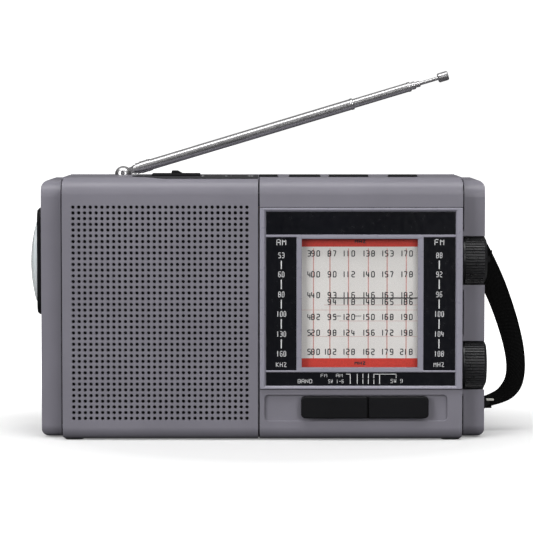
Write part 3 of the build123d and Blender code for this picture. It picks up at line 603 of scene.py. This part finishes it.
# ---- Hand strap ----
# The webbing's outer and inner edge in X and Z, from the top down, in millimetres from the case's middle
STRAP_OUTER = (
    (106.1, 97.3), (111.6, 87.0), (116.9, 75.6), (121.0, 64.6), (124.4, 53.6), (127.0, 42.0), (127.8, 31.0),
    (126.3, 22.6), (122.6, 17.4), (118.0, 14.7), (112.6, 13.1), (110.0, 12.4), (106.2, 10.2),
)
STRAP_INNER = (
    (106.1, 71.2), (108.9, 65.6), (111.4, 59.6), (113.8, 53.0), (116.4, 44.6), (118.1, 37.0), (118.6, 31.0),
    (118.0, 26.4), (116.4, 23.1), (114.2, 20.4), (111.4, 18.6), (109.6, 17.9), (106.2, 16.6),
)
# How far the section leans at each of those points, as a slope
STRAP_TURNS = (0.0, 0.0, 0.0, 0.04, 0.1, 0.16, 0.2, 0.3, 0.45, 0.7, 1.0, 0.8, 0.1)


def smooth_line(points, steps):
    """A Catmull-Rom line through the points."""
    ends = [2 * points[0] - points[1]] + list(points) + [2 * points[-1] - points[-2]]
    line = []
    for i in range(1, len(ends) - 2):
        a, b, c, d = ends[i - 1:i + 3]
        for k in range(steps):
            t = k / steps
            square = (2 * a - 5 * b + 4 * c - d) * t**2
            cube = (3 * b - a - 3 * c + d) * t**3
            line.append(0.5 * (2 * b + (c - a) * t + square + cube))
    return line + [points[-1]]


def make_hand_strap():
    """Flat webbing that bows out from the cheek and turns on its way down to a pinched end."""
    low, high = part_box("hand_strap")
    middle_y, thick = (low[1] + high[1]) / 2, 1.5 * MM
    steps = 12
    outer = smooth_line([Vector((from_middle(x), middle_y, z * MM)) for x, z in STRAP_OUTER], steps)
    inner = smooth_line([Vector((from_middle(x), middle_y, z * MM)) for x, z in STRAP_INNER], steps)
    turns = [v.x for v in smooth_line([Vector((t, 0, 0)) for t in STRAP_TURNS], steps)]
    # the section from edge to edge: flat faces, a groove inside each selvedge, and rounded edges
    face = [
        (-1.0, -0.3), (-0.97, -0.8), (-0.9, -1.0), (-0.82, -1.0), (-0.77, -0.78), (-0.7, -0.95),
        (-0.35, -1.0), (0.0, -1.0), (0.35, -1.0), (0.7, -0.95), (0.77, -0.78), (0.82, -1.0),
        (0.9, -1.0), (0.97, -0.8), (1.0, -0.3),
    ]
    section = face + [(-u, -w) for u, w in face]

    def ribbon(form):
        layer = form.loops.layers.uv.new("UVMap")
        rings, distances, walked = [], [], 0.0
        centres = [(a + b) / 2 for a, b in zip(outer, inner)]
        for i, centre in enumerate(centres):
            across = (outer[i] - inner[i]) / 2
            across.y = -turns[i] * across.length * 0.5
            ahead = centres[min(i + 1, len(centres) - 1)] - centres[max(i - 1, 0)]
            out = ahead.cross(across).normalized()
            if i:
                walked += (centre - centres[i - 1]).length
            distances.append(walked)
            rings.append([form.verts.new(centre + across * u + out * w * thick / 2) for u, w in section])
        count = len(section)
        for i in range(len(rings) - 1):
            for k in range(count):
                following = (k + 1) % count
                ring, ahead = rings[i], rings[i + 1]
                strip = form.faces.new((ring[k], ring[following], ahead[following], ahead[k]))
                places = ((k, i), (following, i), (following, i + 1), (k, i + 1))
                for loop, (a, b) in zip(strip.loops, places):
                    loop[layer].uv = (section[a][0] * 5 * MM, distances[b])
        form.faces.new(rings[0])
        form.faces.new(rings[-1])

    name = "hand_strap_webbing"
    strap = add_piece(name, mesh_from(name, ribbon), webbing_material, "case")
    strap.data.shade_smooth()
    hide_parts("hand_strap")

    # Painted highlight: the small clip at the strap's pinched end is real, but it is drawn in pale nylon so that
    # its colour stands in for the glint of metal there.
    def clip(form):
        front = middle_y - 2.6 * MM
        add_bar(form, (from_middle(108.8), from_middle(112.4)), (front, middle_y), (15.2 * MM, 16.2 * MM))

    add_piece("strap_clip_painted_glint", mesh_from("strap_clip_painted_glint", clip), white_plastic_material, "case")


# ---- Stage ----
def make_stage():
    """A floor that the camera sees as white, and that the object sees as dark."""
    def plane(form):
        bmesh.ops.create_grid(form, x_segments=1, y_segments=1, size=9.0)

    floor_mesh = mesh_from("floor", plane)
    shader = Shader("floor_white", (0.7, 0.7, 0.7), 0.9, specular_ior_level=0.0)
    seen = shader.node("ShaderNodeLightPath").outputs["Is Camera Ray"]
    shader.link(shader.mix(seen, (0.10, 0.10, 0.10), (0.7, 0.7, 0.7)), shader.surface.inputs["Base Color"])
    place = {0: shader.coordinates()}
    away = shader.node("ShaderNodeVectorMath", place, operation="LENGTH").outputs["Value"]
    glow = shader.math("MULTIPLY", shader.ramp(away, 0.1, 0.3, 0.16, 1.0), seen)
    shader.set("Emission Color", (1, 1, 1, 1))
    shader.link(glow, shader.surface.inputs["Emission Strength"])
    floor_mesh.materials.append(shader.material)
    floor = bpy.data.objects.new("floor", floor_mesh)
    bpy.context.collection.objects.link(floor)


def make_light(name, place, target, size, power):
    data = bpy.data.lights.new(name, "AREA")
    data.shape = "RECTANGLE"
    data.size, data.size_y = size
    data.energy = power
    light = bpy.data.objects.new(name, data)
    light.location = place
    light.rotation_euler = (Vector(target) - Vector(place)).to_track_quat("-Z", "Y").to_euler()
    bpy.context.collection.objects.link(light)
    light.visible_camera = False
    return light


def make_lighting():
    make_light("overhead", (0.0, -0.45, 1.25), (0.0, 0.0, 0.1), (1.9, 0.5), 12)
    make_light("front_left", (-1.5, -1.75, 0.75), (0, 0, 0.06), (1.1, 1.1), 29)
    make_light("front_right", (0.9, -2.05, 0.75), (0, 0, 0.06), (1.1, 1.1), 18)
    for side in (-1, 1):
        behind = make_light(f"behind_{side}", (side * 1.6, 1.3, 1.0), (0, 0, 0.06), (0.8, 0.8), 5)
        behind.visible_glossy = False
    world = bpy.data.worlds.new("studio")
    bpy.context.scene.world = world
    world.use_nodes = True
    tree = world.node_tree
    background = tree.nodes["Background"]

    def node(kind, **inputs):
        made = tree.nodes.new(kind)
        for key, value in inputs.items():
            socket = made.inputs[key.replace("_", " ")]
            if hasattr(value, "links"):
                tree.links.new(value, socket)
            else:
                socket.default_value = value
        return made

    # light comes from above, and the horizon is dark: chrome and black gloss reflect both
    direction = node("ShaderNodeTexCoord").outputs["Generated"]
    upward = node("ShaderNodeSeparateXYZ", Vector=direction).outputs["Z"]
    height = {"From_Min": 0.05, "From_Max": 0.9, "To_Min": 0.05, "To_Max": 0.42}
    sky = node("ShaderNodeMapRange", Value=upward, **height).outputs["Result"]
    seen = node("ShaderNodeLightPath").outputs["Is Camera Ray"]
    strength = node("ShaderNodeMapRange", Value=seen, To_Min=sky, To_Max=1.05).outputs["Result"]
    tree.links.new(strength, background.inputs["Strength"])
    background.inputs["Color"].default_value = (1, 1, 1, 1)
    bpy.context.scene.view_settings.view_transform = "Standard"


make_camera()
make_stage()
make_lighting()
dress_cad_nodes()
make_card_print()
make_scale_print()
make_dial_bars()
make_groove_painted_shadow()
make_top_print()
make_antenna_rings()
make_hand_strap()
